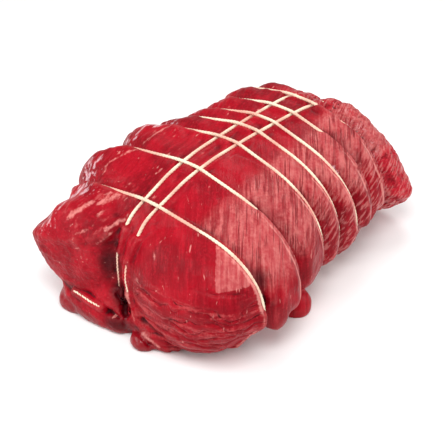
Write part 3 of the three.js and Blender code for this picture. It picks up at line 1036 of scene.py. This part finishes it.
class RawMeat(Look):
    """The meat's material: first its patterns, then layers of colour over one another."""

    def __init__(self):
        super().__init__("raw_meat")
        self.skin = self.attribute("wrapped", "Vector")
        for name in ("right", "back_end", "end_face", "folds", "flaps", "standing", "valleys"):
            setattr(self, name, self.attribute(name))
        self.broad = self.noise(self.place, BROAD, 2)
        self.patchy = self.noise(self.place, PATCHY, 2)
        self.fine = self.noise(self.place, FINE, 3)
        self.add_fibres()
        self.add_strokes()
        self.add_paleness()
        self.add_gaps()
        # Silverskin, with a painted sheen along the left edges and a painted highlight on a rim.
        spread = self.drawn(self.place, SILVER_GRAIN, 4, 0.6)
        spots = self.attribute("silverskin_and_sheen").least(0.4)
        self.silvery = (spots + (spread - 0.5) * 4).step(0.2, 1.0)

    def drawn(self, place, scale, detail, roughness=0.5):
        """Noise that is drawn out along the axes of the smaller scales."""
        return self.noise(self.stretched(place, scale), 1, detail, roughness)

    def fibrous(self, along, around, detail):
        """Noise that is drawn out along the fibres, which run round the right side."""
        left = self.drawn(self.place, along, detail)
        return blend(self.right, left, self.drawn(self.skin, around, detail))

    def add_fibres(self):
        """Fine fibres and broad bands of them, level in the folds and rough on the back end."""
        self.level = self.drawn(self.place, LEVEL_FOLDS, 4)
        self.rough = self.drawn(self.place, ROUGH_END, 4, 0.6)
        self.fibres = blend(self.folds, self.fibrous(FINE_ALONG, FINE_ROUND, 4), self.level)
        self.fibres = blend(self.back_end, self.fibres, self.rough)
        patches = self.noise(self.place, END_PATCHES, 2)
        self.bands = blend(self.end_face, self.fibrous(BROAD_ALONG, BROAD_ROUND, 2), patches)
        self.speckle = (self.fine - 0.5) * 1.1 + (self.fibres - 0.5) * 1.3

    def add_strokes(self):
        """Slanting strokes, low on the side and on the back end."""
        side = self.turned(self.skin, "Z", SIDE_TURN)
        end = self.turned(self.turned(self.place, "Z", END_TURNS[0]), "Y", END_TURNS[1])
        on_side, on_end = self.drawn(side, STROKES_SIDE, 3), self.drawn(end, STROKES_END, 3)
        self.strokes = blend(self.end_face, on_side, on_end)
        self.stroked = self.attribute("low_side").most(self.back_end)

    def add_paleness(self):
        """The pale band on the right side, broken up, and the crisp patch in front: partly dry,
        rougher meat and partly a painted sheen.
        """
        broken = (self.bands - 0.5) * 1.4 + (self.patchy - 0.5) * 1.0 + self.speckle * 0.7
        # Less pale in the painted shade behind the ties.
        band = self.attribute("pale") * (broken + 1) - self.valleys * 1.2
        self.soft_pale = band.step(0.05, 0.95)
        patch = (self.attribute("pale_patch") * 2.5 + self.speckle * 0.25).step(-0.05, 0.15)
        self.paleness = self.soft_pale.most(patch)

    def add_gaps(self):
        """Short slits between the fibres, most of them on the pale band."""
        waves = self.drawn(self.skin, SLIT_WAVES, 1)
        breaks = self.drawn(self.skin, SLIT_BREAKS, 1)
        slits = abs(waves - 0.5).step(0.06, 0.015) * breaks.step(0.42, 0.54)
        elsewhere = self.right * self.patchy.step(0.45, 0.6) * 0.25
        slits = slits * (self.soft_pale * 0.65 + elsewhere).least(1)
        self.gaps = slits * (1 - self.back_end)

    def lean(self):
        """Lean meat with a bright grain."""
        colour = self.mix(self.broad.step(0.36, 0.62) * 0.8, DEEP, LEAN)
        colour = self.mix(self.bands.step(0.46, 0.66) * 0.2, colour, BRIGHT)
        colour = self.mix(self.speckle.step(-0.05, 0.4) * 0.5, colour, BRIGHT)
        colour = self.mix(self.speckle.step(0.0, -0.4) * 0.4, colour, DEEP)
        return self.mix(self.back_end * (self.rough - 0.5).step(-0.2, 0.1) * 0.9, colour, BRIGHT)

    def paled(self, colour):
        """The pale band and patch, partly a painted sheen; a painted highlight on what stands out;
        pale streaks; and the lines in the folds.
        """
        mottle = self.noise(self.place, MOTTLED, 3)
        frosting = (self.fibres - 0.5) * 1.4 + (mottle - 0.5) * 0.9 + (self.fine - 0.5) * 0.3
        frosted = self.mix(frosting.step(-0.3, 0.35), ROSY, PALE)
        # The pale band and patch, partly a painted sheen.
        colour = self.mix(self.paleness * (self.speckle * 0.5 + 0.85).least(1), colour, frosted)
        # A painted highlight where the surface stands out.
        colour = self.mix(self.standing.step(0.25, 1.0) * 0.15, colour, PALE)
        streaks = (self.bands + self.speckle * 0.12).step(0.55, 0.66)
        colour = self.mix(streaks * self.attribute("streaked") * 0.4, colour, PALE)
        ridges = (self.level + (self.fine - 0.5) * 0.4).step(0.5, 0.68)
        colour = self.mix(self.folds * ridges * 0.28, colour, PALE)
        return self.mix(self.folds * self.level.step(0.46, 0.34) * 0.4, colour, DEEP)

    def lined(self, colour):
        """The slits and the strokes."""
        colour = self.mix(self.gaps * 0.85, colour, IN_SLITS)
        light = (self.strokes + (self.broad - 0.5) * 0.2).step(0.5, 0.6)
        # Light strokes: pale fibres, partly painted glints.
        colour = self.mix(self.stroked * light * 0.65, colour, PALE)
        return self.mix(self.stroked * self.strokes.step(0.46, 0.36) * 0.6, colour, DEEP)

    def shaded(self, colour):
        """Painted shade in hollows, behind the ties, in the cleft and under the left lobe; a deeper
        red on the low flaps.
        """
        # Painted shade in broad hollows.
        colour = self.mix(self.attribute("sunken").step(0.08, 0.6) * 0.6, colour, DEEP)
        # Painted shade in the valley behind each tie.
        colour = self.mix(self.valleys.step(0.1, 0.9) * 0.7, colour, VALLEY_SHADE)
        # Painted shade in small hollows and creases.
        colour = self.mix(self.standing.step(-0.15, -0.9) * 0.85, colour, DARK)
        colour = self.mix(self.flaps * 0.75, colour, DEEP)
        # Painted shade in the cleft, under the left lobe and in a slit on the right side.
        return self.mix(self.attribute("shade_spots").step(0.0, 0.8) * 0.8, colour, DARK)

    def marbled(self, colour):
        """Flecks, rims and lines of fat, and silverskin; some flecks, the rims and the silverskin's
        edges are partly painted highlights.
        """
        # Flecks of fat, some of them painted glints.
        flecks = self.fibrous(FLECKS_ALONG, FLECKS_ROUND, 2).step(0.67, 0.73)
        colour = self.mix(flecks * self.patchy.step(0.4, 0.6) * 0.6, colour, FATTY)
        # Rims before the ties: partly fat and partly a painted highlight on the lit crests.
        rims = (self.attribute("rims") + self.speckle * 0.4).step(0.3, 0.8)
        colour = self.mix(rims * self.patchy.step(0.35, 0.5) * 0.6, colour, FATTY)
        ragged = (self.fine - 0.5) * 1.2 + (self.fibres - 0.5) * 1.8
        fat = (self.attribute("fat") + ragged).step(-0.1, 0.9)
        # Silverskin, with a painted sheen along the left edges and a painted highlight on a rim.
        return self.mix(self.silvery * 0.7, self.mix(fat * 0.62, colour, FATTY), SILVER)

    def wet(self):
        """How much of a wet coat there is."""
        wet = self.stroked * self.strokes.step(0.4, 0.6) * 0.4 + self.flaps * 0.4
        return wet + self.silvery * 0.3 + self.patchy.step(0.5, 0.7) * 0.08 + 0.02


def meat_look():
    look = RawMeat()
    colour = look.marbled(look.shaded(look.lined(look.paled(look.lean()))))
    grainy = look.bump(look.fibres - look.gaps + look.strokes * look.stroked, 0.8 * MM, 0.9)
    look.set(
        Base_Color=colour,
        Roughness=0.4 + look.paleness * 0.2,
        Specular_IOR_Level=0.1,
        Coat_Weight=look.wet(),
        Coat_Roughness=0.12,
        Subsurface_Weight=0.1,
        Subsurface_Scale=2 * MM,
        Subsurface_Radius=(1.0, 0.25, 0.15),
        Normal=look.bump(look.fine, 0.3 * MM, 0.6, Normal=grainy),
    )
    return look.material


def twine_look():
    look = Look("cotton_twine")
    stain = look.noise(look.place, STAIN, 3).step(0.38, 0.64)
    fuzz = look.bump(look.noise(look.place, FUZZ, 2), 0.1 * MM, 0.5)
    look.set(Base_Color=look.mix(stain, CREAM, STAINED), Roughness=0.85, Normal=fuzz)
    return look.material


def floor_look():
    look = Look("pale_floor")
    look.set(Base_Color=FLOOR, Roughness=0.6)
    return look.material


# ---- The pieces ----
FLOOR_REACH = 3  # half its side, in metres


def add_floor():
    shape = bmesh.new()
    bmesh.ops.create_grid(shape, x_segments=1, y_segments=1, size=FLOOR_REACH)
    mesh = bpy.data.meshes.new("floor")
    shape.to_mesh(mesh)
    shape.free()
    mesh.materials.append(floor_look())
    link("floor", mesh)


def thin(piece, most):
    """Takes out the triangles that matter least, down to the most that there may be."""
    decimate = piece.modifiers.new("thin", "DECIMATE")
    decimate.ratio = most / (2 * len(piece.data.polygons))
    mesh = applied(piece)
    piece.modifiers.clear()
    piece.data = mesh


def add_meat():
    piece = remeshed_meat()
    surface = Surface(piece)
    surface.move(drawn_out(surface.places) - surface.places)
    press_ties(surface)
    relief(surface)
    thin_threads(surface)
    bed_loose_end(surface)
    paint_meat(surface)
    piece.data.shade_smooth()
    if len(piece.data.polygons) * 2 > MOST_TRIANGLES:
        thin(piece, MOST_TRIANGLES)
    piece.data.materials.append(meat_look())
    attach(piece, "root")
    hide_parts("meat")


def add_twines():
    material = twine_look()
    routes = {name: (tie.points, True) for name, tie in ties.items()}
    routes["loose_end"] = (loose_end_route(), False)
    for name, (points, closed) in routes.items():
        piece = twine_piece("twine_" + name, points, closed)
        piece.data.materials.append(material)
        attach(piece, "root")
        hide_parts(name)


add_camera()
add_lamps()
add_floor()
add_meat()
add_twines()
